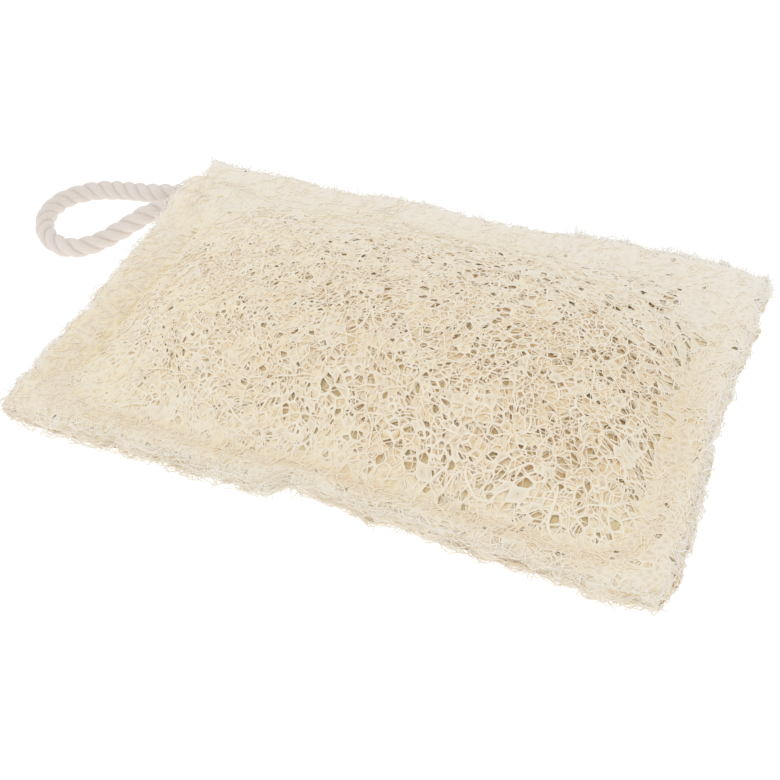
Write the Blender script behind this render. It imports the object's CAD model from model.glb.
import math

import bpy
import numpy as np
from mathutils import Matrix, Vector
from mathutils.geometry import delaunay_2d_cdt


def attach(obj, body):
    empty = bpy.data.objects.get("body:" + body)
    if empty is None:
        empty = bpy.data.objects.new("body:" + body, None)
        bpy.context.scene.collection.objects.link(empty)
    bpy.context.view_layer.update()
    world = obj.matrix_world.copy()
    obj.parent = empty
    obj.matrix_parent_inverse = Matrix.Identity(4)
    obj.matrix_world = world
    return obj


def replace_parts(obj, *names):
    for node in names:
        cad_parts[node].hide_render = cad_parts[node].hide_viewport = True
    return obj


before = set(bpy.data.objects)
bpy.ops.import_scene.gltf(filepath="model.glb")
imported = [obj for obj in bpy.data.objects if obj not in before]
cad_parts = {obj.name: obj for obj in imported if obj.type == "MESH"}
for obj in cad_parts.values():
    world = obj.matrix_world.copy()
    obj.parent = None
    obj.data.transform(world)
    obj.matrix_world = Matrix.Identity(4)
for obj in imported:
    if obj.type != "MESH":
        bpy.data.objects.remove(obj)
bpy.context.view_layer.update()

# The view: a camera a third of a metre from the pad, level, looking down at it from the front
# and a little from the right. Lengths in this file are in millimetres until a mesh is made.

MM = 0.001
LOOK_AT = Vector((2.42, -15.08, 10.0)) * MM
CAMERA_AZIMUTH, CAMERA_ELEVATION = math.radians(21.4646), math.radians(41.9376)
CAMERA_DISTANCE = 0.32485
PICTURE_SIDE, FOCAL_PIXELS = 780, 1432.5

eye = bpy.data.cameras.new("pad_camera")
eye.sensor_width = 36.0
eye.lens = eye.sensor_width * FOCAL_PIXELS / PICTURE_SIDE
eye.clip_start, eye.clip_end = 0.01, 20.0
camera = bpy.data.objects.new("pad_camera", eye)
bpy.context.scene.collection.objects.link(camera)
backwards = Vector(
    (
        math.sin(CAMERA_AZIMUTH) * math.cos(CAMERA_ELEVATION),
        -math.cos(CAMERA_AZIMUTH) * math.cos(CAMERA_ELEVATION),
        math.sin(CAMERA_ELEVATION),
    )
)
camera.location = LOOK_AT + CAMERA_DISTANCE * backwards
camera.rotation_euler = backwards.to_track_quat("Z", "Y").to_euler()
bpy.context.scene.camera = camera

# The hanging loop: a short length of soft cotton rope, three strands laid right-handed, each
# of a few thick yarns. Both ends lie between the sheets, where the stitches catch them.

ROPE_DIAMETER = 5.2
ROPE_PITCH = 12.5  # one full turn of a strand
STRAND_RADIUS = 1.52
STRAND_STANDS_OUT = 0.06  # past the rope's round
YARNS = 7
YARN_RELIEF = 0.06
YARN_PITCH = 9.0
RING_STEP = 0.55
STRAND_SIDES = 20
ROPE_ROUTE = np.array(
    [
        (-60.0, 37.9, 10.0), (-66.0, 37.9, 10.0), (-73.0, 37.8, 10.0),
        (-80.3, 37.3, 9.6), (-85.5, 37.2, 8.6), (-91.0, 37.6, 7.3),
        (-96.5, 38.4, 6.0), (-102.1, 38.7, 4.6), (-106.8, 37.8, 3.5),
        (-110.3, 35.8, 2.9), (-112.6, 32.7, 2.65), (-113.4, 28.8, 2.6),
        (-113.0, 24.6, 2.6), (-111.4, 20.6, 2.6), (-108.5, 16.9, 2.6),
        (-104.9, 14.5, 2.6), (-100.9, 13.8, 2.65), (-97.0, 14.7, 2.9),
        (-93.7, 16.9, 3.5), (-90.9, 19.7, 4.5), (-88.2, 22.9, 5.9),
        (-85.3, 26.0, 7.4), (-82.3, 28.9, 8.8), (-78.7, 30.7, 9.6),
        (-73.0, 31.1, 10.0), (-66.0, 31.1, 10.0), (-60.0, 31.1, 10.0),
    ]
)


class Link:
    """One output of a material's nodes. Arithmetic on it adds the Math nodes for it."""

    def __init__(self, finish, socket):
        self.finish, self.socket = finish, socket

    def maths(self, operation, *values, clamp=False):
        node = self.finish.node(
            "ShaderNodeMath", {"operation": operation, "use_clamp": clamp}, values
        )
        return node["Value"]

    def __add__(self, other):
        return self.maths("ADD", self, other)

    def __sub__(self, other):
        return self.maths("SUBTRACT", self, other)

    def __rsub__(self, other):
        return self.maths("SUBTRACT", other, self)

    def __mul__(self, other):
        return self.maths("MULTIPLY", self, other)

    def __pow__(self, other):
        return self.maths("POWER", self, other)

    def limited(self):
        """The same value kept between 0 and 1."""
        return self.maths("ADD", self, 0.0, clamp=True)

    __radd__ = __add__
    __rmul__ = __mul__


class Finish:
    """A Principled material that is put together node by node."""

    def __init__(self, name, **uniform):
        self.material = bpy.data.materials.new(name)
        self.material.use_nodes = True
        self.tree = self.material.node_tree
        self.surface = self.tree.nodes["Principled BSDF"]
        for label, value in uniform.items():
            self.surface.inputs[label.replace("_", " ")].default_value = value

    def node(self, kind, settings=None, inputs=()):
        """Adds a node. Its settings go in first, then its inputs by number or name."""
        made = self.tree.nodes.new(kind)
        for label, value in (settings or {}).items():
            setattr(made, label, value)
        pairs = inputs.items() if isinstance(inputs, dict) else enumerate(inputs)
        for label, value in pairs:
            self.join(value, made.inputs[label])
        return {out.name: Link(self, out) for out in made.outputs}

    def join(self, value, socket):
        if isinstance(value, Link):
            self.tree.links.new(value.socket, socket)
        else:
            socket.default_value = value

    def feed(self, label, value):
        self.join(value, self.surface.inputs[label])

    def attribute(self, name):
        return self.node("ShaderNodeAttribute", {"attribute_name": name})["Fac"]

    def place(self):
        return self.node("ShaderNodeTexCoord")["Object"]

    def towards_back(self):
        """0 in the front half, rising to 1 near the back rim."""
        across = self.node("ShaderNodeSeparateXYZ", {}, [self.place()])["Y"]
        return (across * 14.0 + 0.1).limited()

    def along(self):
        return self.node("ShaderNodeUVMap", {"uv_map": "along"})["UV"]

    def noise(self, where, scale, detail=3.0, stretch=None):
        """A noise value; stretch draws its pattern out along the three axes."""
        if stretch is not None:
            where = self.node("ShaderNodeMapping", {}, {"Vector": where, "Scale": stretch})
            where = where["Vector"]
        inputs = {"Vector": where, "Scale": scale, "Detail": detail}
        return self.node("ShaderNodeTexNoise", {}, inputs)["Fac"]

    def blend(self, share, low, high):
        """A colour between two others."""
        made = self.tree.nodes.new("ShaderNodeMix")
        made.data_type = "RGBA"
        for value, label in ((share, "Factor"), (low, "A"), (high, "B")):
            fitting = [s for s in made.inputs if s.name == label and s.enabled]
            self.join((*value, 1.0) if isinstance(value, tuple) else value, fitting[0])
        return Link(self, [s for s in made.outputs if s.enabled][0])

    def bump(self, height, strength, distance):
        inputs = {"Strength": strength, "Distance": distance, "Height": height}
        self.feed("Normal", self.node("ShaderNodeBump", {}, inputs)["Normal"])


def smooth_route(route, step, parts=8):
    """Points step apart on the Catmull-Rom curve through a route: each span is a cubic in t
    whose slope at a point is half the chord between its two neighbours."""
    ends = np.vstack([route[:1], route, route[-1:]])
    a, b, c, d = ends[:-3, None], ends[1:-2, None], ends[2:-1, None], ends[3:, None]
    t = (np.arange(parts) / parts)[None, :, None]
    cubic = 2 * b + (c - a) * t + (2 * a - 5 * b + 4 * c - d) * t**2
    fine = 0.5 * (cubic + (3 * b - a - 3 * c + d) * t**3)
    fine = np.vstack([fine.reshape(-1, 3), route[-1:]])
    run = np.concatenate([[0], np.cumsum(np.linalg.norm(np.diff(fine, axis=0), axis=1))])
    even = np.linspace(0, run[-1], round(run[-1] / step) + 1)
    return np.stack([np.interp(even, run, fine[:, k]) for k in range(3)], axis=1), run[-1]


def unit(vectors):
    """Vectors of length 1 with the same directions."""
    return vectors / np.maximum(np.linalg.norm(vectors, axis=-1, keepdims=True), 1e-9)


def mesh_piece(name, verts, corners, starts, finish, values, smooth):
    """An object from its points in millimetres, the corners of all its faces in one row, the
    place in it where each face starts, and values for its points."""
    mesh = bpy.data.meshes.new(name)
    mesh.vertices.add(len(verts))
    mesh.vertices.foreach_set("co", (verts * MM).astype(np.float32).ravel())
    mesh.loops.add(len(corners))
    mesh.loops.foreach_set("vertex_index", corners.astype(np.int32))
    mesh.polygons.add(len(starts))
    mesh.polygons.foreach_set("loop_start", starts.astype(np.int32))
    for label, value in values.items():
        layer = mesh.attributes.new(label, "FLOAT", "POINT")
        layer.data.foreach_set("value", value.astype(np.float32).ravel())
    mesh.update(calc_edges=True)
    mesh.polygons.foreach_set("use_smooth", np.full(len(starts), smooth))
    mesh.materials.append(finish.material)
    made = bpy.data.objects.new(name, mesh)
    bpy.context.scene.collection.objects.link(made)
    return made


def sweep(name, paths, radii, finish, sides, upright, relief=None, values=None, turn=0.0,
          smooth=True):
    """Tubes along many paths at once, as one mesh. A point of a tube is the path's point plus
    its radius times (cos a · n + sin a · b), where n is upright made square to the path and b
    is square to both. paths is (tubes, points, 3), radii and each of values (tubes, points),
    and relief scales the radius round the tube, (tubes, points, sides). turn is the angle a
    of the first side."""
    tubes, points = paths.shape[:2]
    tangent = unit(np.gradient(paths, axis=1))
    lean = np.sum(upright * tangent, axis=-1, keepdims=True)
    normal = unit(upright - lean * tangent)
    across = np.cross(tangent, normal)
    angle = (np.arange(sides) / sides * math.tau + turn)[:, None]
    ring = np.cos(angle) * normal[:, :, None] + np.sin(angle) * across[:, :, None]
    reach = radii[..., None] if relief is None else radii[..., None] * relief
    verts = paths[:, :, None] + reach[..., None] * ring
    index = np.arange(tubes * points * sides).reshape(tubes, points, sides)
    turned = np.roll(index, -1, axis=2)
    quads = np.stack(
        [index[:, :-1], turned[:, :-1], turned[:, 1:], index[:, 1:]], axis=-1
    ).reshape(-1, 4)
    caps = np.concatenate([index[:, 0, ::-1], index[:, -1]])
    corners = np.concatenate([quads.ravel(), caps.ravel()])
    starts = np.arange(len(quads)) * 4, len(quads) * 4 + np.arange(len(caps)) * sides
    rings = {
        label: np.broadcast_to(value[..., None], (tubes, points, sides))
        for label, value in (values or {}).items()
    }
    made = mesh_piece(
        name, verts.reshape(-1, 3), corners, np.concatenate(starts), finish, rings, smooth
    )
    steps = np.linalg.norm(np.diff(paths, axis=1), axis=-1)
    run = np.concatenate([np.zeros((tubes, 1)), np.cumsum(steps, axis=1)], axis=1)
    sweep_map(made.data, run, sides, len(quads), corners)
    return made


def sweep_map(mesh, run, sides, quads, corners):
    """A map of the tubes: u is the run along a tube in millimetres, v the turn round it."""
    tubes, points = run.shape
    u = np.broadcast_to(run[:, :, None], (tubes, points, sides)).ravel()
    turn = np.broadcast_to(np.arange(sides) / sides, (tubes, points, sides)).ravel()
    v = turn[corners].copy()
    wrapped = np.zeros((quads, 4), bool)
    wrapped[:, 1:3] = (np.arange(quads) % sides == sides - 1)[:, None]
    v[: quads * 4][wrapped.ravel()] = 1.0
    layer = mesh.uv_layers.new(name="along")
    layer.data.foreach_set(
        "uv", np.stack([u[corners], v], axis=-1).astype(np.float32).ravel()
    )


def cotton_finish():
    """Soft unbleached cotton: fine fibres that run along the yarns, darker towards the
    grooves between the strands, by one minus the cosine of the turn round a strand."""
    cotton = Finish("unbleached_cotton", Roughness=0.88, Sheen_Weight=0.25)
    lint = cotton.noise(cotton.along(), 1.0, 4.0, stretch=(1.2, 26.0, 1.0))
    patches = cotton.noise(cotton.place(), 260.0, 2.0)
    turn = cotton.node("ShaderNodeSeparateXYZ", {}, [cotton.along()])["Y"]
    groove = (1 - turn.maths("COSINE", turn * math.tau)).limited() ** 2.0
    pale = cotton.blend(patches, (0.77, 0.68, 0.61), (0.84, 0.76, 0.69))
    streaked = cotton.blend((lint * 0.5).limited(), pale, (0.88, 0.81, 0.75))
    cotton.feed("Base Color", cotton.blend(groove * 0.5, streaked, (0.50, 0.40, 0.32)))
    cotton.feed("Roughness", lint * 0.12 + 0.8)
    cotton.bump(lint, 0.7, 0.0003)
    return cotton


rope_path, rope_length = smooth_route(ROPE_ROUTE, RING_STEP)
rope_run = np.linspace(0, rope_length, len(rope_path))
ahead = unit(np.gradient(rope_path, axis=0))
side = unit(np.cross(ahead, (0.0, 0.0, 1.0)))
lift = np.cross(side, ahead)
lay = -math.tau * rope_run / ROPE_PITCH + (np.arange(3) * math.tau / 3)[:, None]
outward = np.cos(lay)[..., None] * side + np.sin(lay)[..., None] * lift
slack = 1 + 0.03 * np.sin(rope_run / 3.1) + 0.02 * np.sin(rope_run / 1.27 + 1)
strand_line = rope_path + (ROPE_DIAMETER / 2 - STRAND_RADIUS + STRAND_STANDS_OUT) * outward
strand_line = strand_line + 0.05 * np.sin(rope_run / 2.3)[:, None] * lift
around = np.arange(STRAND_SIDES) / STRAND_SIDES * math.tau
yarn_turn = math.tau * rope_run / YARN_PITCH
ridge = np.abs(np.cos(YARNS / 2 * (around + yarn_turn[:, None])))
relief = 1 - YARN_RELIEF + YARN_RELIEF * ridge
radii = np.broadcast_to(STRAND_RADIUS * slack, strand_line.shape[:2])
relief = np.broadcast_to(relief, (3, *relief.shape))
rope = sweep(
    "hanging_rope_strands", strand_line, radii, cotton_finish(), STRAND_SIDES, outward, relief
)
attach(rope, "root")
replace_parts(rope, "hanging_rope")

# The upper sheet: one face of the pad, cut from the web that a ripe gourd leaves when it has
# dried. Veins meet in flat, pale webs round lens-shaped holes, and through the holes the next
# layers show. The stitches press them all down to a groove round the swollen middle.

SHEET_LENGTH, SHEET_WIDTH, WIDENING = 149.6, 105.6, 0.012
EDGE_DRAW, CORNER_WEAR = (0.9, 0.6), 0.8
SEAM_PLANE, SEAM_HALF_X, SEAM_HALF_Y = 10.0, 65.5, 45.0
SEAM_SHIFT_Y, SEAM_CORNER, FLANGE_FULL = -1.0, 10.0, 7.0
SEAM_THICKNESS, RIM_THICKNESS, RIM_ROUNDING, RIM_ROUND_WIDTH = 1.8, 3.4, 0.5, 3.5
CROWN_RISE, CROWN_LEAN, BELLY_RISE = 15.4, 0.10, 10.6
PILLOW_POWER_X, PILLOW_POWER_Y = 3.2, 2.1
TAILS_Y, TAIL_TIP = (37.9, 31.1), -60.0
COVER_RISE, COVER_SPREAD, COVER_END = 5.4, 5.0, 3.0
HALF_LENGTH, HALF_WIDTH = SHEET_LENGTH / 2, SHEET_WIDTH / 2
# Where along a side its cut edge lies how much further out.
BACK_SIDE = (
    (-75, -67, -54, -48, -41, -36, -24, -10, -2, 12, 24, 30, 54, 62, 75),
    (2.4, -0.6, -0.3, 0.7, -1.1, -1.1, 2.2, 2.0, 0.5, 0.7, 1.8, 4.0, 4.0, 3.4, 2.2),
)
FRONT_SIDE = (
    (-75, -60, -48, -36, -24, -11, -7, 0, 12, 24, 36, 52, 60, 66, 75),
    (1.2, 2.2, 1.7, 1.7, 2.1, 1.6, -1.9, -1.7, 0.5, 0.0, 1.5, 1.1, 3.0, 2.2, 2.0),
)
ROPE_END = (
    (-53, -44, -38, -32, -22, -16, -10, 0, 6, 16, 22, 33, 44, 53),
    (2.0, 1.3, 2.4, 1.5, 2.0, 1.4, 2.5, 2.0, 3.1, 2.5, 3.3, 2.5, 0.4, 2.2),
)
RIGHT_END = (
    (-53, -44, -30, -22, -14, -3, 8, 22, 34, 40, 53),
    (0.3, 1.3, 1.7, 0.8, 1.1, -0.3, 0.4, 0.7, 1.5, 0.6, 1.6),
)
STRETCH = 0.94  # how much further apart the seeds of the net lie along X
CLEARED = 1.8  # no other seed lies within this many radii of a larger hole's middle
VEIN_SLOPE = 0.13  # how much lower the edge of a hole lies than the ridge round it
LEAST_HOLE = 0.33
PIT_FLOOR, WIDEST_HOLE = 0.06, 0.85  # as shares of a cell
PIT_DEPTHS = (0.12, 0.48)
PIT_TINT = 2.5  # how many times deeper a closed pit looks than it is
CLOSED_UP = 0.75  # the share of the small holes that is missing on the flange or at the back
HOLE_GRID = 0.25  # the table of how holes push strands aside has this step
TURN_DOWN = 1.8  # the face turns down to the cut within this distance of the rim
WORN_WIDTH = 4.0
RIM_WAY = 0.8  # the thickness of the cut side is read this far inside the rim
TUFT_SPACING, TUFT_LEAN = 1.7, 0.7  # how far apart the tufts are, and how much they draw in
FULL_DEPTH = 8.0  # where a sheet is at least this thick, its layers lie at their full depth
PALE, CREAM, YELLOWED = (0.88, 0.79, 0.66), (0.86, 0.74, 0.57), (0.88, 0.75, 0.49)
BLEACHED, WORN = (0.96, 0.92, 0.85), (0.95, 0.94, 0.90)
TAN, EDGE_GLEAM = (0.75, 0.54, 0.26), (1.0, 0.93, 0.77)
INNER_PALE, INNER_CREAM = (0.93, 0.81, 0.56), (0.92, 0.77, 0.50)


def warp(x, y):
    """The outline's bend: the middle of each side is drawn in by a share that grows with the
    fourth power of the distance out, and the points of the corners are worn off. Shifts of
    each side and sines, with a share that grows with the eighth power, make it ragged."""
    u, v = x / HALF_LENGTH, y / HALF_WIDTH
    worn = CORNER_WEAR * np.minimum((u * v) ** 12, 1.2)
    drawn_x = EDGE_DRAW[0] * (1 - v * v) * u**4 + worn
    drawn_y = EDGE_DRAW[1] * (1 - u * u) * v**4 + worn
    ends = np.where(x > 0, np.interp(y, *RIGHT_END), np.interp(y, *ROPE_END))
    sides = np.where(y > 0, np.interp(x, *BACK_SIDE), np.interp(x, *FRONT_SIDE))
    ragged_x = (ends + 0.25 * np.sin(y / 1.9 + 1) + 0.2 * np.sin(y / 0.87 + u)) * u**8
    ragged_y = (sides + 0.25 * np.sin(x / 2.1 + 2) + 0.2 * np.sin(x / 0.93 + v)) * v**8
    x, y = x + np.sign(x) * (ragged_x - drawn_x), y + np.sign(y) * (ragged_y - drawn_y)
    return x, y * (1 + WIDENING * u)


def outside_seam(x, y):
    """The distance outside the stitched line, a rectangle with round corners."""
    dx = np.abs(x) - (SEAM_HALF_X - SEAM_CORNER)
    dy = np.abs(y - SEAM_SHIFT_Y) - (SEAM_HALF_Y - SEAM_CORNER)
    beyond = np.hypot(np.maximum(dx, 0), np.maximum(dy, 0))
    return beyond + np.minimum(np.maximum(dx, dy), 0) - SEAM_CORNER


def thickness(side, x, y):
    """From the seam plane to a sheet's outer face: a flange that is thinnest at the stitches
    and worn round at the rim, plus a pillow, the product of 1 - |u|^p and 1 - |v|^q, plus a
    swell over each sewn rope end."""
    outside = np.clip(outside_seam(x, y) / FLANGE_FULL, 0, 1)
    to_rim = np.minimum(HALF_LENGTH - np.abs(x), HALF_WIDTH - np.abs(y)) / RIM_ROUND_WIDTH
    rounded = RIM_ROUNDING * (1 - np.clip(to_rim, 0, 1)) ** 2
    flange = np.sqrt(outside) * (1 - rounded) * (RIM_THICKNESS - SEAM_THICKNESS)
    u = np.minimum(np.abs(x) / SEAM_HALF_X, 1)
    v = np.minimum(np.abs(y - SEAM_SHIFT_Y) / SEAM_HALF_Y, 1)
    swell = (1 - u**PILLOW_POWER_X) * (1 - v**PILLOW_POWER_Y)
    past = np.maximum(x - (TAIL_TIP - COVER_END), 0)
    covers = [np.exp(-(past**2 + (y - tail) ** 2) / COVER_SPREAD**2) for tail in TAILS_Y]
    cover = COVER_RISE * (covers[0] ** 4 + covers[1] ** 4) ** 0.25
    rise = CROWN_RISE * (1 + CROWN_LEAN * x / SEAM_HALF_X) if side > 0 else BELLY_RISE
    whole = np.hypot(SEAM_THICKNESS + flange + rise * swell, cover)
    return whole if side > 0 else np.minimum(whole, SEAM_PLANE)


def face(side, x, y):
    """A sheet's thickness with its unevenness, but never below the surface it lies on."""
    out = thickness(side, x, y) + uneven(x, y)
    return out if side > 0 else np.minimum(out, SEAM_PLANE)


def uneven(x, y):
    """How far a sheet's face swells out and in: products of crossed waves, in millimetres."""
    swells = 0.2 * np.sin(x / 3.1 + 1) * np.sin(y / 2.7 + 0.5)
    swells = swells + 0.16 * np.sin((x + y) / 4.9) * np.sin((x - y) / 4.1 + 2)
    return swells + 0.11 * np.sin((x + 0.3 * y) / 1.1) * np.sin((y - 0.4 * x) / 1.3 + 1)


def on_sheet(side, x, y, depth):
    """The point that lies depth below a sheet's outer face, measured square to it, and the
    face's outward normal there. side is 1 for the upper sheet and -1 for the lower."""
    inside_x = np.clip(x, -HALF_LENGTH, HALF_LENGTH)
    inside_y = np.clip(y, -HALF_WIDTH, HALF_WIDTH)
    step = 0.2
    out = face(side, inside_x, inside_y)
    slope_x = face(side, inside_x + step, inside_y) - out
    slope_y = face(side, inside_x, inside_y + step) - out
    normal = unit(np.stack([-slope_x, -slope_y, np.full_like(out, step)], axis=-1))
    normal = normal * (1, 1, side)
    flat = np.stack([*warp(x, y), SEAM_PLANE + side * out], axis=-1)
    return flat - depth[..., None] * normal, normal


def coarseness(x, y):
    """How open the web is, from 0 at the rope's end and the back to 1 at the far front."""
    return np.clip((x - 0.55 * y + 50) / 130, 0, 1)


def near_back(y):
    """0 in the front half, rising to 1 at 40 mm behind the middle."""
    return np.clip(y / 40, 0, 1)


def on_flange(x, y):
    """0 on the crown, rising to 1 over the last 2 mm before the stitches, and 1 outside."""
    return np.clip(outside_seam(x, y) / 2 + 1, 0, 1)


def pressed(side, x, y, depth):
    """A layer's depth where the sheet is pressed thinner: in proportion to its thickness, and
    more by a square close to the rim, where the face turns down to the cut."""
    to_rim = np.minimum(HALF_LENGTH - np.abs(x), HALF_WIDTH - np.abs(y))
    droop = np.clip(1 - to_rim / TURN_DOWN, 0, 1.5) ** 2
    return depth * np.clip(thickness(side, x, y) / FULL_DEPTH, 0.4, 1) + droop


def lumps(x, y, draw):
    """A lumpiness between about -1 and 1: products of crossed waves of three lengths."""
    total = np.zeros_like(x)
    for size, share in ((13.0, 0.5), (7.3, 0.3), (4.1, 0.2)):
        turn = draw.uniform(0, math.tau)
        wave_x = np.sin((x * math.cos(turn) + y * math.sin(turn)) / size * 2.2 + turn)
        wave_y = np.sin((y * math.cos(turn) - x * math.sin(turn)) / size * 2.4 + 2 * turn)
        total += share * wave_x * wave_y
    return total


def large_holes(draw, spacing, radii, keep):
    """The larger holes of a sheet, in clusters: their middles in the space of the even net,
    and their radii. radii and keep give the radius and the chance of a hole where the web is
    closest and where it is most open. Holes are smaller and fewer on the flange."""
    a, b = np.meshgrid(
        np.arange(-HALF_LENGTH, HALF_LENGTH, spacing * STRETCH) / STRETCH,
        np.arange(-HALF_WIDTH, HALF_WIDTH, spacing / STRETCH) * STRETCH,
        indexing="ij",
    )
    a = (a + draw.uniform(-0.45, 0.45, a.shape) * spacing).ravel()
    b = (b + draw.uniform(-0.45, 0.45, b.shape) * spacing).ravel()
    x, y = spread(np.stack([a, b], axis=-1)).T
    share, flange = coarseness(x, y), on_flange(x, y)
    radius = (radii[0] + (radii[1] - radii[0]) * share) * draw.uniform(0.5, 1.25, x.shape)
    chance = keep[0] + (keep[1] - keep[0]) * share
    chance = chance * np.clip(0.9 + 1.5 * lumps(x, y, draw), 0, 2) * (1 - 0.85 * flange)
    stays = draw.uniform(0, 1, x.shape) < chance
    return np.stack([a, b, radius * (1 - 0.6 * flange)], axis=-1)[stays]


def hole_table(holes):
    """How far strands are pushed aside by the larger holes, on a grid. A point at distance r
    from the middle of a hole of radius R moves out to the cube root of r³ + R³."""
    xs = np.arange(-HALF_LENGTH - 4, HALF_LENGTH + 4, HOLE_GRID)
    ys = np.arange(-HALF_WIDTH - 4, HALF_WIDTH + 4, HOLE_GRID)
    table = np.zeros((len(xs), len(ys), 2))
    for (x, y), r in zip(spread(holes[:, :2]), holes[:, 2]):
        reach = int(3.2 * r / HOLE_GRID) + 1
        i, j = np.searchsorted(xs, x), np.searchsorted(ys, y)
        span_x = slice(max(i - reach, 0), i + reach)
        span_y = slice(max(j - reach, 0), j + reach)
        dx, dy = xs[span_x, None] - x, ys[None, span_y] - y
        far = np.maximum(np.hypot(dx, dy), 1e-3)
        push = ((far**3 + r**3) ** (1 / 3) - far) / far
        push = push * np.clip(3.2 - far / r, 0, 1)
        table[span_x, span_y, 0] += dx * push
        table[span_x, span_y, 1] += dy * push
    return xs[0], ys[0], table


def pushed(tables, x, y):
    """Points moved aside by holes, each table read between its nearest four entries."""
    for start_x, start_y, table in tables:
        i = np.clip((x - start_x) / HOLE_GRID, 0, table.shape[0] - 1.001)
        j = np.clip((y - start_y) / HOLE_GRID, 0, table.shape[1] - 1.001)
        low_i, low_j = i.astype(int), j.astype(int)
        a, b = (i - low_i)[..., None], (j - low_j)[..., None]
        near = table[low_i, low_j] * (1 - b) + table[low_i, low_j + 1] * b
        far = table[low_i + 1, low_j] * (1 - b) + table[low_i + 1, low_j + 1] * b
        moved = near * (1 - a) + far * a
        x, y = x + moved[..., 0], y + moved[..., 1]
    return x, y


def cells_round(seeds):
    """The cells of a net round scattered seeds. A cell's corners are the centres of the
    circles through the Delaunay triangles that meet at its seed, taken in order round it.
    Gives the corners, then a row for each corner of each cell: seed, corner, next corner."""
    found = delaunay_2d_cdt([Vector(seed) for seed in seeds.tolist()], [], [], 0, 1e-6)
    place = np.array([spot[:] for spot in found[0]])
    triangles = np.array(found[2])
    a, b, c = (place[triangles[:, k]] for k in range(3))
    twice = 2 * (
        a[:, 0] * (b[:, 1] - c[:, 1])
        + b[:, 0] * (c[:, 1] - a[:, 1])
        + c[:, 0] * (a[:, 1] - b[:, 1])
    )
    twice = np.where(np.abs(twice) < 1e-6, 1e-6, twice)
    aa, bb, cc = (np.sum(corner**2, axis=1) for corner in (a, b, c))
    x = (aa * (b[:, 1] - c[:, 1]) + bb * (c[:, 1] - a[:, 1]) + cc * (a[:, 1] - b[:, 1])) / twice
    y = (aa * (c[:, 0] - b[:, 0]) + bb * (a[:, 0] - c[:, 0]) + cc * (b[:, 0] - a[:, 0])) / twice
    corners = np.stack([x, y], axis=-1)
    seed, corner = triangles.ravel(), np.repeat(np.arange(len(triangles)), 3)
    away = corners[corner] - place[seed]
    order = np.lexsort((np.arctan2(away[:, 1], away[:, 0]), seed))
    seed, corner = seed[order], corner[order]
    first = np.flatnonzero(np.concatenate([[True], seed[1:] != seed[:-1]]))
    following = np.arange(1, len(seed) + 1)
    following[np.append(first[1:], len(seed)) - 1] = first
    return place, corners, seed, corner, corner[following]


def net_seeds(draw, cell, holes, narrowed):
    """Where the cells of a net grow: a staggered grid, shaken by half a cell, thinned out in
    patches and kept clear of the larger holes, and then the middles of those holes. Gives the
    seeds and how many of them are small cells."""
    margin = 4 + 3 * cell
    a, b = np.meshgrid(
        np.arange(-HALF_LENGTH - margin, HALF_LENGTH + margin, cell * STRETCH) / STRETCH,
        np.arange(-HALF_WIDTH - margin, HALF_WIDTH + margin, cell * 0.866 / STRETCH) * STRETCH,
        indexing="ij",
    )
    a = a + (np.arange(a.shape[1]) % 2) * cell / 2
    a = (a + draw.uniform(-0.5, 0.5, a.shape) * cell).ravel()
    b = (b + draw.uniform(-0.5, 0.5, b.shape) * cell).ravel()
    kept = draw.uniform(0, 1, a.shape) > 0.2 * (1 + 0.9 * lumps(a, b, draw))
    far = np.hypot(a[:, None] - holes[:, 0], b[:, None] - holes[:, 1])
    kept &= np.all(far > CLEARED * narrowed * holes[:, 2], axis=1)
    seeds = np.concatenate([np.stack([a[kept], b[kept]], axis=-1), holes[:, :2]])
    return seeds, np.count_nonzero(kept)


def net_faces(owner, corner, ahead, count):
    """The faces of a net with count crossings. Each side of a cell has a face above and one
    below, from its ridges to the edge of the hole, and a side that no other cell shares has
    a face between its two ridges."""
    hole = 2 * count + np.arange(len(corner))
    last = np.append(np.flatnonzero(owner[1:] != owner[:-1]), len(owner) - 1)
    hole_ahead = hole + 1
    hole_ahead[last] = hole[np.append(0, last[:-1] + 1)]
    above = np.stack([corner, ahead, hole_ahead, hole], axis=-1)
    below = np.stack([ahead + count, corner + count, hole, hole_ahead], axis=-1)
    bare = ~np.isin(corner * count + ahead, ahead * count + corner)
    a, b = corner[bare], ahead[bare]
    return np.concatenate([above, below, np.stack([b, a, a + count, b + count], axis=-1)])


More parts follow.
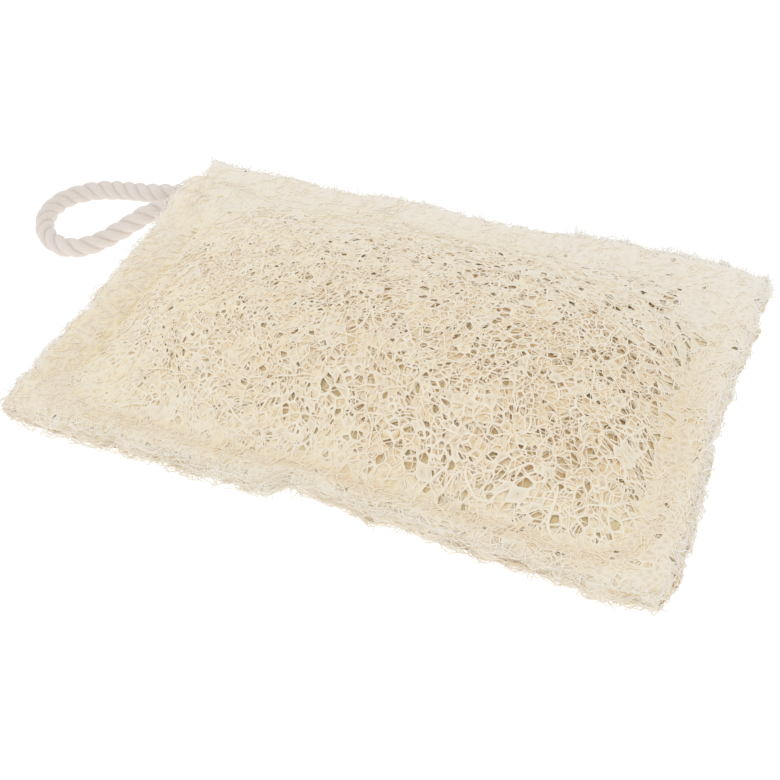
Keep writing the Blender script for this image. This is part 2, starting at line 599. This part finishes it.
def net(name, side, cell, depth, strut, openness, finish, seed, holes, part="all", rough=0.2,
        narrowed=1.0):
    """One layer of the web as a closed net. Round each cell a flat vein slopes from a ridge
    at the cell's border to the edge of its hole, the border shrunk towards its middle, and
    back to a ridge below. Of the small cells, openness is about the share that has a hole.
    part is crown, flange or all; rough is how much higher one crossing lies than the next;
    narrowed scales the larger holes, each of which is a cell of its own."""
    draw = np.random.default_rng(seed)
    seeds, first_large = net_seeds(draw, cell, holes, narrowed)
    place, corners, owner, corner, ahead = cells_round(seeds)
    place, corners = spread(place), spread(corners)
    out = outside_seam(*place.T)
    inside = np.all(np.abs(place) < (HALF_LENGTH - 0.4, HALF_WIDTH - 0.4), axis=1)
    if part != "all":
        inside &= (out <= 0) if part == "crown" else (out > 0)
    sides = inside[owner]
    owner, corner, ahead = owner[sides], corner[sides], ahead[sides]
    used, flat = np.unique(np.concatenate([corner, ahead]), return_inverse=True)
    corner, ahead = flat[: len(corner)], flat[len(corner) :]
    x, y = corners[used, 0], corners[used, 1]
    cells, owner = np.unique(owner, return_inverse=True)
    size = np.bincount(owner)
    middle = np.stack([np.bincount(owner, x[corner]), np.bincount(owner, y[corner])]) / size
    away_x, away_y = x[corner] - middle[0][owner], y[corner] - middle[1][owner]
    radius = np.bincount(owner, np.hypot(away_x, away_y)) / size
    share, flange, back = coarseness(*middle), on_flange(*middle), near_back(middle[1])
    lumpy = lumps(*middle, draw)
    width = strut * draw.uniform(0.5, 1.5, len(cells)) * (1.25 - 0.45 * share)
    shrink = 1 - 0.62 * width * (1 + 0.4 * lumpy) / radius
    shrink = np.clip(shrink, PIT_FLOOR, WIDEST_HOLE)
    chance = np.clip(openness * (0.8 + 0.3 * share) - 0.3 * lumpy, 0.03, 0.97)
    chance = chance * (1 - CLOSED_UP * flange) * (1 - CLOSED_UP * back)
    large = cells >= first_large
    is_open = large | ((draw.uniform(0, 1, len(cells)) < chance) & (radius * shrink > LEAST_HOLE))
    shrink = np.where(is_open, shrink, PIT_FLOOR)[owner]
    pit = draw.uniform(*PIT_DEPTHS, len(cells)) * (0.85 + 0.35 * share) * np.minimum(radius, 0.8)
    pit = pit * (1 - 0.75 * back) * (1 - 0.45 * flange)
    dip = np.where(is_open, VEIN_SLOPE, pit)[owner]
    gleam = np.where(is_open, 0.82 + 0.18 * share, 0.0)[owner]
    hole_x = middle[0][owner] + away_x * shrink
    hole_y = middle[1][owner] + away_y * shrink
    level = depth * (0.4 + 0.75 * coarseness(x, y)) + 0.2 * lumps(x, y, draw)
    level = np.maximum(level + draw.uniform(-rough, rough, x.shape), 0.0)
    x, y = kept_in(x, HALF_LENGTH), kept_in(y, HALF_WIDTH)
    hole_x, hole_y = kept_in(hole_x, HALF_LENGTH), kept_in(hole_y, HALF_WIDTH)
    depths = np.concatenate([level, level + 2 * VEIN_SLOPE, level[corner] + dip])
    xs, ys = np.concatenate([x, x, hole_x]), np.concatenate([y, y, hole_y])
    below = pressed(side, xs, ys, depths)
    verts, _ = on_sheet(side, xs, ys, below)
    count = len(x)
    shown = below + valley(xs, ys)
    shown[2 * count :] += np.where(gleam > 0, 0.0, PIT_TINT * dip)
    tone = draw.uniform(0, 1, count)
    ridge = 0.68 + 0.2 * coarseness(x, y)
    values = {
        "tone": np.concatenate([tone, tone, tone[corner]]),
        "depth": shown,
        "gleam": np.concatenate([ridge, ridge, gleam]),
        "rim": near_rim(xs, ys),
    }
    faces = net_faces(owner, corner, ahead, count)
    return sheet_mesh(name, side, verts, faces, finish, values)


def spread(points):
    """Points of the even net, set closer towards the rope's end: x plus a fifth of
    (x² - half²) over twice the half. Waves across and along the sheet then turn and stretch
    the cells this way and that."""
    u, y = points[:, 0] * STRETCH, points[:, 1] / STRETCH
    x = u + 0.2 * (u * u - HALF_LENGTH**2) / (2 * HALF_LENGTH)
    sway_x = 2.2 * np.sin(y / 7.3 + 0.6) + 1.2 * np.sin((x + y) / 4.9)
    sway_y = 1.6 * np.sin(x / 8.7 + 1.9) + 0.9 * np.sin((x - 0.6 * y) / 5.3 + 1)
    short_x = 0.5 * np.sin((0.8 * x - y) / 2.3 + 0.4)
    short_y = 0.5 * np.sin((x + 0.7 * y) / 2.1 + 2.2)
    return np.stack([x + sway_x + short_x, y + sway_y + short_y], axis=-1)


def valley(x, y):
    """How much warmer the web looks in the valley just outside the stitches, in millimetres
    of depth: a bell over the distance outside them, lower at the back."""
    bell = np.exp(-(((outside_seam(x, y) - 2.6) / 2.4) ** 2))
    return 0.8 * bell * (1 - 0.7 * near_back(y)) * (0.4 + 0.6 * coarseness(x, y))


def near_rim(x, y):
    """How worn the web is near the rim: the square of the way there over its last stretch."""
    to_rim = np.minimum(HALF_LENGTH - np.abs(x), HALF_WIDTH - np.abs(y))
    return np.clip(1 - to_rim / WORN_WIDTH, 0, 1) ** 2 * worn(y)


def worn(y):
    """How greyed the cut fibres are: least along the front."""
    return 0.55 + 0.2 * np.clip((y + HALF_WIDTH) / 12, 0, 1)


def kept_in(value, half):
    """Positions pressed in where they pass the rim, so that only a short fringe stands out."""
    over = np.maximum(np.abs(value) - half, 0)
    return np.sign(value) * (np.minimum(np.abs(value), half) + 1.2 * np.tanh(over / 3))


def sheet_mesh(name, side, verts, quads, finish, values, smooth=False):
    """A mesh from points and four-cornered faces, with the faces turned for the lower side."""
    quads = quads[:, ::-1] if side < 0 else quads
    starts = np.arange(len(quads)) * 4
    made = mesh_piece(name, verts, quads.ravel(), starts, finish, values, smooth)
    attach(made, "root")
    return made


def strands(name, side, count, points, length, depth, radius, finish, seed, tables,
            zone=(-80.0, 2.5), follow=0.3, at_back=0.4, at_right=0.0, curl=0.12):
    """Loose strands over the web. Each starts at a random place and wanders: its heading is a
    steady turn plus a slow wave, and is more often across the pad than along it. zone gives
    how far outside the stitches they start. follow is the share that run with the nearest
    rim, and at_back and at_right are added to it there."""
    draw = np.random.default_rng(seed)
    tries = count * 12
    x = draw.uniform(-HALF_LENGTH, HALF_LENGTH, tries)
    y = draw.uniform(-HALF_WIDTH, HALF_WIDTH, tries)
    out = outside_seam(x, y)
    fits = (out > zone[0]) & (out < zone[1])
    x, y = x[fits][:count, None], y[fits][:count, None]
    count = len(x)
    reach = draw.uniform(*length, (count, 1))
    along = np.linspace(-0.5, 0.5, points)[None] * reach
    share = follow + at_back * near_back(y) + at_right * np.clip((x - 40) / 20, 0, 1)
    follows = draw.uniform(0, 1, (count, 1)) < share
    rim_way = rim_heading(x, y) + draw.normal(0, 0.3, (count, 1))
    any_way = draw.uniform(0, math.tau, (count, 1))
    heading = np.where(follows, rim_way, any_way + 0.2 * np.sin(2 * any_way))
    bend = draw.normal(0, curl, (count, 1)) * np.where(follows, 0.4, 1.0)
    sway = draw.uniform(0.1, 0.6, (count, 1)) * np.where(follows, 0.5, 1.0)
    turns = draw.uniform(0.35, 0.9, (count, 1))
    phase = draw.uniform(0, math.tau, (count, 1))
    angle = heading + bend * along + sway * np.sin(turns * along + phase)
    step = reach / (points - 1)
    fx = x + np.cumsum(np.cos(angle) * step, axis=1) - np.cos(angle[:, :1]) * step
    fy = y + np.cumsum(np.sin(angle) * step, axis=1) - np.sin(angle[:, :1]) * step
    fx, fy = fx - fx.mean(axis=1, keepdims=True) + x, fy - fy.mean(axis=1, keepdims=True) + y
    fx, fy = pushed(tables, fx, fy)
    fx, fy = kept_in(fx, HALF_LENGTH), kept_in(fy, HALF_WIDTH)
    base = draw.uniform(*depth, (count, 1))
    weave = draw.uniform(0.1, 0.3, (count, 1)) * (1 - 0.5 * near_back(y))
    below = base + weave * np.sin(draw.uniform(0.5, 1.3, (count, 1)) * along + phase * 2)
    below = np.maximum(pressed(side, fx, fy, below), -0.4 if side > 0 else 0.2)
    paths, normal = on_sheet(side, fx, fy, below)
    thick = draw.uniform(0, 1, (count, 1)) ** 1.7 * (radius[1] - radius[0]) + radius[0]
    taper = 1 - 0.45 * np.abs(np.linspace(-1, 1, points)) ** 4
    thick = thick * taper * (1 + 0.12 * np.sin(along * 1.9 + phase))
    tone = np.broadcast_to(draw.uniform(0, 1, (count, 1)), below.shape)
    gleam = 0.64 + 0.34 * coarseness(fx, fy)
    shown = below + 0.6 * valley(fx, fy)
    values = {"tone": tone, "depth": shown, "gleam": gleam, "rim": near_rim(fx, fy)}
    return ribbons(name, paths, thick, finish, normal, values)


def ribbons(name, paths, thick, finish, upright, values):
    """Fine strands as three-sided tubes that turn a flat side outwards."""
    made = sweep(name, paths, thick, finish, 3, upright, None, values, math.pi / 3, False)
    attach(made, "root")
    return made


def rim_heading(x, y):
    """The direction of the nearest stretch of rim."""
    along_x = HALF_WIDTH - np.abs(y) < HALF_LENGTH - np.abs(x)
    return np.where(along_x, 0.0, math.pi / 2)


def fringe(name, side, count, length, radius, finish, seed, stretch_of_rim=(0.0, 1.0),
           curl=1.0):
    """Cut fibre ends along the rim. Each is a root inside the rim, plus its length times a
    direction that leans outwards, plus the square of the way along it times a random bend
    and a lean towards the middle of its tuft. stretch_of_rim is the share of the way round
    the rim, from the front left corner."""
    draw = np.random.default_rng(seed)
    around = draw.uniform(*stretch_of_rim, count) * 2 * (SHEET_LENGTH + SHEET_WIDTH)
    inset = draw.uniform(0.2, 2.2, count)
    x, y, out = round_the_rim(around, inset)
    way = out + draw.normal(0, 0.4, count)
    below = draw.uniform(0.0, 0.9, count) * thickness(side, x, y)
    root, normal = on_sheet(side, x, y, below)
    lean = draw.normal(0.0, 0.35, count)
    heading = np.stack([np.cos(way), np.sin(way), lean], axis=-1)
    bend = draw.normal(0, 0.35 * curl, (count, 3)) * (1, 1, 0.6)
    reach = draw.uniform(0, 1, count) ** 2 * (length[1] - length[0]) + length[0]
    tufts = np.sin(around / 0.93 + 2) + np.sin(around / 2.1 + 1) + np.sin(around / 4.7)
    reach = (reach * np.clip(0.7 + 0.5 * tufts, 0.1, 1.6) + inset)[:, None]
    points = 4
    t = np.linspace(0, 1, points)[None, :, None]
    middle = (np.round(around / TUFT_SPACING + 0.3 * np.sin(around / 3.7))) * TUFT_SPACING
    along = np.stack([np.cos(out + math.pi / 2), np.sin(out + math.pi / 2), 0 * out], axis=-1)
    bend = bend * reach + TUFT_LEAN * (middle - around)[:, None] * along
    paths = root[:, None] + t * (reach * unit(heading))[:, None] + t * t * bend[:, None]
    thick = draw.uniform(*radius, (count, 1)) * (1 - 0.5 * np.linspace(0, 1, points) ** 2)
    tone = np.broadcast_to(draw.uniform(0, 0.7, (count, 1)), thick.shape)
    upright = np.broadcast_to(normal[:, None], paths.shape)
    none = np.zeros(thick.shape)
    grey = np.minimum(worn(y)[:, None] + 0.6 * np.linspace(0, 1, points), 1)
    values = {"tone": tone, "depth": none, "gleam": none, "rim": grey}
    return ribbons(name, paths, thick, finish, upright, values)


def round_the_rim(around, inset):
    """The point that lies inset inside the rim, a distance round it from the front left
    corner, and the direction that points outwards there."""
    turns = np.cumsum([0, SHEET_LENGTH, SHEET_WIDTH, SHEET_LENGTH, SHEET_WIDTH])
    around = around % turns[-1]
    edge = np.searchsorted(turns, around, side="right") - 1
    run = around - turns[edge]
    lows, highs = run - HALF_LENGTH, run - HALF_WIDTH
    x = np.choose(edge, [lows, HALF_LENGTH - inset, -lows, inset - HALF_LENGTH])
    y = np.choose(edge, [inset - HALF_WIDTH, highs, HALF_WIDTH - inset, -highs])
    out = np.choose(edge, [-math.pi / 2, 0.0, math.pi / 2, math.pi])
    return x, y, out


def rim_strands(name, side, count, length, radius, finish, seed):
    """Strands that run along the cut side of a sheet. Each keeps a height in the cut, as a
    share of the thickness there, and weaves in and out of it as the sum of two sines."""
    draw = np.random.default_rng(seed)
    points = 6
    middle = draw.uniform(0, 2 * (SHEET_LENGTH + SHEET_WIDTH), (count, 1))
    reach = draw.uniform(*length, (count, 1))
    along = np.linspace(-0.5, 0.5, points)[None] * reach
    phase = draw.uniform(0, math.tau, (count, 1))
    inset = draw.uniform(0.0, 1.4, (count, 1)) ** 1.3 + 0.35 * np.sin(along * 0.9 + phase)
    inset = inset - 0.25 + 0.25 * np.sin(along * 1.7 + 2 * phase)
    loose = draw.uniform(0, 1, (count, 1)) ** 3
    inset = inset - 0.7 * loose * (1 + np.sin(along * 1.2 + 4 * phase))
    x, y, _ = round_the_rim(middle + along, inset)
    share = draw.uniform(0.1, 0.95, (count, 1)) + 0.12 * np.sin(along * 1.1 + 3 * phase)
    reach_x, reach_y = HALF_LENGTH - RIM_WAY, HALF_WIDTH - RIM_WAY
    whole = thickness(side, np.clip(x, -reach_x, reach_x), np.clip(y, -reach_y, reach_y))
    below = np.clip(share, 0, 0.97) * whole
    paths, _ = on_sheet(side, x, y, np.zeros_like(below))
    paths = paths - below[..., None] * (0, 0, side)
    upright = np.broadcast_to((0.0, 0.0, 1.0), paths.shape)
    thick = draw.uniform(*radius, (count, 1)) * (1 - 0.4 * np.linspace(-1, 1, points) ** 4)
    tone = np.broadcast_to(draw.uniform(0, 1, (count, 1)), thick.shape)
    gleam = np.full(thick.shape, 0.5)
    values = {"tone": tone, "depth": np.maximum(inset, 0) * 0.15, "gleam": gleam, "rim": worn(y)}
    return ribbons(name, paths, thick, finish, upright, values)


def rim_wall(name, side, inset, finish, seed):
    """The matted fibres behind the loose strands of the cut side: a band that lies inset
    behind the rim, from just under the outer face to the seam plane, with a lumpy face."""
    draw = np.random.default_rng(seed)
    around = np.linspace(0, 2 * (SHEET_LENGTH + SHEET_WIDTH), 640, endpoint=False)[:, None]
    share = np.array([0.25, 0.5, 0.75, 0.99])[None]
    behind = inset + draw.uniform(-0.12, 0.12, (len(around), share.size))
    behind = np.concatenate([behind, np.full(behind.shape, inset + 1.2)], axis=1)
    share = np.broadcast_to(np.concatenate([share, share[:, ::-1]], axis=1), behind.shape)
    x, y, _ = round_the_rim(np.broadcast_to(around, behind.shape), behind)
    x = np.clip(x, behind - HALF_LENGTH, HALF_LENGTH - behind)
    y = np.clip(y, behind - HALF_WIDTH, HALF_WIDTH - behind)
    verts, _ = on_sheet(side, x, y, np.zeros(x.shape))
    verts = verts - (share * thickness(side, x, y))[..., None] * (0, 0, side)
    index = np.arange(x.size).reshape(x.shape)
    down, on = np.roll(index, -1, axis=1), np.roll(index, -1, axis=0)
    both = np.roll(down, -1, axis=0)
    quads = np.stack([index, down, both, on], axis=-1).reshape(-1, 4)
    values = {"tone": draw.uniform(0, 1, x.size), "depth": np.full(x.size, 0.3), "rim": worn(y)}
    return sheet_mesh(name, side, verts.reshape(-1, 3), quads, finish, values)


def fibre_finish(name, pale, cream, tan, deep):
    """Dried loofah fibre: cream, pinker and yellower in patches, duller from one vein to the
    next, greyer where the rim is worn, turning tan with depth, with a fine grain and a faint
    waxy shine."""
    fibre = Finish(name, Roughness=0.62, Specular_IOR_Level=0.3)
    tone = fibre.attribute("tone")
    depth = fibre.attribute("depth")
    patches = fibre.noise(fibre.place(), 60.0, 2.0)
    tints = fibre.noise(fibre.place(), 190.0, 2.0)
    grain = fibre.noise(fibre.place(), 1500.0, 2.0)
    share = (patches * 1.6 - 0.5 + (tone - 0.5) * 0.6).limited()
    colour = fibre.blend(share, pale, cream)
    colour = fibre.blend((tints * 2.4 - 0.9).limited() * 0.5, colour, YELLOWED)
    colour = fibre.blend(fibre.attribute("gleam") ** 2.0 * 0.9, colour, EDGE_GLEAM)
    back = fibre.towards_back()
    colour = fibre.blend(back * 0.7, colour, BLEACHED)
    colour = fibre.blend(fibre.attribute("rim") * 0.9, colour, WORN)
    sunk = (depth * (1 / deep)).limited() ** 1.2 * (1 - back * 0.4)
    fibre.feed("Base Color", fibre.blend(sunk, colour, tan))
    fibre.feed("Roughness", grain * 0.25 + 0.5)
    fibre.bump(grain, 0.25, 0.0001)
    return fibre


def matted_layer(name, side, depth, margin, step, finish, seed):
    """The closely matted inside of a sheet: its outer face moved inwards by a depth that
    grows where the web is open, plus a lumpiness, on a grid that stops short of the rim."""
    draw = np.random.default_rng(seed)
    across = round((SHEET_LENGTH - 2 * margin) / step)
    deep = round((SHEET_WIDTH - 2 * margin) / step)
    x, y = np.meshgrid(
        np.linspace(-HALF_LENGTH + margin, HALF_LENGTH - margin, across),
        np.linspace(-HALF_WIDTH + margin, HALF_WIDTH - margin, deep),
        indexing="ij",
    )
    below = depth * (0.4 + 0.75 * coarseness(x, y)) + 0.3 * lumps(x, y, draw)
    below = pressed(side, x, y, below)
    verts, _ = on_sheet(side, x, y, below)
    index = np.arange(x.size).reshape(x.shape)
    quads = np.stack(
        [index[:-1, :-1], index[1:, :-1], index[1:, 1:], index[:-1, 1:]], axis=-1
    ).reshape(-1, 4)
    made = sheet_mesh(name, side, verts.reshape(-1, 3), quads, finish, {"depth": below}, True)
    wall = made.modifiers.new("wall", "SOLIDIFY")
    wall.thickness, wall.offset = 0.0003, -1.0
    return made


def matted_finish():
    """Matted inner fibres seen through the holes: olive in some places and orange in others,
    and browner with depth."""
    matted = Finish("matted_inner_fibre", Roughness=0.8)
    pits = matted.noise(matted.place(), 700.0, 3.0)
    tints = (matted.noise(matted.place(), 230.0, 2.0) * 3.0 - 1.0).limited()
    sunk = (matted.attribute("depth") * 0.27 - 0.22 + pits * 0.35).limited()
    sunk = sunk * (1 - matted.towards_back() * 0.4)
    shallow = matted.blend(tints, (0.80, 0.71, 0.41), (0.84, 0.65, 0.37))
    brown = matted.blend(tints, (0.71, 0.54, 0.18), (0.75, 0.46, 0.15))
    matted.feed("Base Color", matted.blend(sunk, shallow, brown))
    matted.bump(pits, 0.9, 0.0006)
    return matted


upper_fibre = fibre_finish("loofah_fibre_upper", PALE, CREAM, TAN, 3.0)
inner_fibre = fibre_finish("loofah_fibre_inner", INNER_PALE, INNER_CREAM, TAN, 2.4)
matted = matted_finish()
hole_draw = np.random.default_rng(5)
upper_holes = large_holes(hole_draw, 3.3, (0.48, 1.0), (0.28, 0.62))
upper_windows = [hole_table(upper_holes)]
upper_pieces = [
    net("upper_crown_net", 1, 1.65, 0.1, 0.52, 0.9, upper_fibre, 31, upper_holes, "crown"),
    net("upper_flange_net", 1, 1.65, 0.1, 0.52, 0.9, upper_fibre, 31, upper_holes, "flange"),
    net("upper_second_net", 1, 2.0, 0.4, 0.5, 0.42, inner_fibre, 33, upper_holes,
        narrowed=0.85),
    net("upper_third_net", 1, 2.5, 0.85, 0.8, 0.5, inner_fibre, 34, upper_holes, narrowed=0.7),
    strands("upper_strands", 1, 1200, 8, (2, 7), (-0.1, 0.2), (0.1, 0.21), upper_fibre,
            35, upper_windows, curl=0.25),
    strands("upper_curls", 1, 1600, 6, (2, 5), (-0.12, 0.12), (0.1, 0.2), upper_fibre,
            55, upper_windows, follow=0.05, at_back=0.25, curl=0.5),
    strands("upper_bridges", 1, 2600, 5, (1.5, 4.5), (0.1, 0.6), (0.05, 0.11), upper_fibre,
            66, [], follow=0.05, at_back=0.1, curl=0.3),
    strands("upper_veins", 1, 170, 12, (5, 15), (0.0, 0.3), (0.2, 0.38), upper_fibre,
            36, upper_windows, follow=0.2, curl=0.12),
    strands("upper_flange_strands", 1, 2400, 6, (1.5, 5), (-0.4, 0.5), (0.09, 0.18),
            upper_fibre, 37, [], zone=(-0.5, 12.0), follow=0.3, at_back=-0.2, at_right=0.35,
            curl=0.4),
    fringe("upper_fringe", 1, 1900, (0.2, 1.2), (0.1, 0.19), upper_fibre, 38),
    fringe("back_tufts", 1, 700, (0.6, 2.2), (0.09, 0.17), upper_fibre, 61, (0.5, 0.6)),
    fringe("back_left_tufts", 1, 400, (0.4, 1.4), (0.09, 0.17), upper_fibre, 65, (0.6, 0.79)),
    fringe("far_corner_tufts", 1, 120, (0.6, 1.6), (0.09, 0.17), upper_fibre, 62, (0.48, 0.505)),
    fringe("front_curls", 1, 150, (0.8, 2.0), (0.07, 0.12), upper_fibre, 63, (0.088, 0.127), 2.0),
    fringe("right_tuft", 1, 60, (0.4, 1.3), (0.09, 0.16), upper_fibre, 64, (0.362, 0.38)),
    rim_strands("upper_rim_strands", 1, 900, (3, 8), (0.08, 0.18), upper_fibre, 51),
    rim_wall("upper_rim_wall", 1, 0.5, upper_fibre, 53),
    matted_layer("upper_matted_layer", 1, 1.4, 1.4, 1.9, matted, 39),
]
for piece in upper_pieces:
    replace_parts(piece, "loofah_upper_sheet")

# The lower sheet: the same gourd web with its swollen middle pressed flat where the pad lies.

lower_fibre = fibre_finish("loofah_fibre_lower", PALE, CREAM, TAN, 3.5)
lower_holes = large_holes(hole_draw, 4.0, (0.7, 0.9), (0.4, 0.6))
lower_pieces = [
    net("lower_outer_net", -1, 2.3, 0.2, 0.5, 0.8, lower_fibre, 41, lower_holes),
    net("lower_second_net", -1, 3.3, 0.8, 0.7, 0.5, lower_fibre, 42, lower_holes,
        narrowed=0.8),
    strands("lower_strands", -1, 800, 6, (3, 8), (0.0, 0.6), (0.09, 0.19), lower_fibre,
            43, [hole_table(lower_holes)], zone=(-80.0, 12.0)),
    fringe("lower_fringe", -1, 1900, (0.2, 1.2), (0.1, 0.19), lower_fibre, 44),
    rim_strands("lower_rim_strands", -1, 900, (3, 8), (0.08, 0.18), lower_fibre, 52),
    rim_wall("lower_rim_wall", -1, 0.5, lower_fibre, 54),
    matted_layer("lower_matted_layer", -1, 1.6, 1.4, 2.4, matted, 45),
]
for piece in lower_pieces:
    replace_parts(piece, "loofah_lower_sheet")

# The seam: a lockstitch in cotton thread, one thread on each face. It is drawn so tight that
# the web closes over it, and only its line shows.

THREAD_RADIUS = 0.25
STITCH_LENGTH = 3.5
THREAD_DEPTH, THREAD_DIVE = 0.25, 0.7
thread_finish = Finish("seam_cotton", Roughness=0.8)
thread_lint = thread_finish.noise(thread_finish.place(), 900.0, 2.0)
thread_finish.feed(
    "Base Color", thread_finish.blend(thread_lint, (0.82, 0.74, 0.60), (0.90, 0.83, 0.71))
)


def seam_line(step):
    """The stitched line in sheet coordinates, a rectangle with round corners, as points a
    given step apart: four quarter turns joined by straight runs."""
    turn = np.linspace(0, math.pi / 2, 24)
    angle = np.concatenate([turn + quarter * math.pi / 2 for quarter in range(4)])
    side_x, side_y = np.repeat([[1, -1, -1, 1], [1, 1, -1, -1]], len(turn), axis=1)
    x = side_x * (SEAM_HALF_X - SEAM_CORNER) + SEAM_CORNER * np.cos(angle)
    y = side_y * (SEAM_HALF_Y - SEAM_CORNER) + SEAM_CORNER * np.sin(angle) + SEAM_SHIFT_Y
    x, y = np.append(x, x[0]), np.append(y, y[0])
    run = np.concatenate([[0], np.cumsum(np.hypot(np.diff(x), np.diff(y)))])
    even = np.linspace(0, run[-1], round(run[-1] / step) + 1)
    return np.interp(even, run, x), np.interp(even, run, y), even


def stitches(name, side):
    """The thread on one face. It dives at every needle hole, as the sixth power of a cosine
    along the seam, and lies just under the face between them."""
    x, y, run = seam_line(0.6)
    dive = np.cos(math.pi * run / STITCH_LENGTH) ** 6
    paths, normal = on_sheet(side, x, y, THREAD_DEPTH + THREAD_DIVE * dive)
    thick = np.full((1, len(x)), THREAD_RADIUS)
    made = sweep(name, paths[None], thick, thread_finish, 6, normal[None])
    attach(made, "root")
    return made


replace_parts(stitches("needle_thread_stitches", 1), "needle_thread")
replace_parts(stitches("bobbin_thread_stitches", -1), "bobbin_thread")

# The stage: a plain white table, a large soft lamp above on the left, and white all round.

TABLE_HALF, TABLE_GLOW = 3.0, 1.1
LAMP_PLACE, LAMP_SIZE, LAMP_WATTS = (-0.45, -0.2, 0.95), 0.8, 1.5
SURROUND = 0.875
table_mesh = bpy.data.meshes.new("table_top")
turns = ((-1, -1), (1, -1), (1, 1), (-1, 1))
table_mesh.from_pydata([(x * TABLE_HALF, y * TABLE_HALF, 0.0) for x, y in turns], [], [(0, 1, 2, 3)])
table_finish = Finish("white_table", Roughness=0.9)
table_finish.surface.inputs["Base Color"].default_value = (0.15, 0.15, 0.15, 1.0)
table_finish.surface.inputs["Emission Color"].default_value = (1.0, 1.0, 1.0, 1.0)
table_finish.surface.inputs["Emission Strength"].default_value = TABLE_GLOW
table_mesh.materials.append(table_finish.material)
table = bpy.data.objects.new("table_top", table_mesh)
bpy.context.scene.collection.objects.link(table)

world = bpy.data.worlds.new("white_studio")
world.use_nodes = True
world.node_tree.nodes["Background"].inputs["Color"].default_value = (1.0, 1.0, 1.0, 1.0)
world.node_tree.nodes["Background"].inputs["Strength"].default_value = SURROUND
bpy.context.scene.world = world


def soft_lamp(name, place, size, power):
    """A square lamp that faces the middle of the pad."""
    lamp = bpy.data.lights.new(name, "AREA")
    lamp.size, lamp.energy = size, power
    made = bpy.data.objects.new(name, lamp)
    made.location = place
    aim = Vector(place) - Vector((0.0, 0.0, 0.01))
    made.rotation_euler = aim.to_track_quat("Z", "Y").to_euler()
    bpy.context.scene.collection.objects.link(made)


soft_lamp("key_lamp", LAMP_PLACE, LAMP_SIZE, LAMP_WATTS)
tones = bpy.context.scene.view_settings
tones.view_transform, tones.look = "Standard", "None"
tones.gamma, tones.exposure = 1.2, -0.17
bpy.context.scene.cycles.diffuse_bounces = 12
bpy.context.scene.cycles.max_bounces = 16
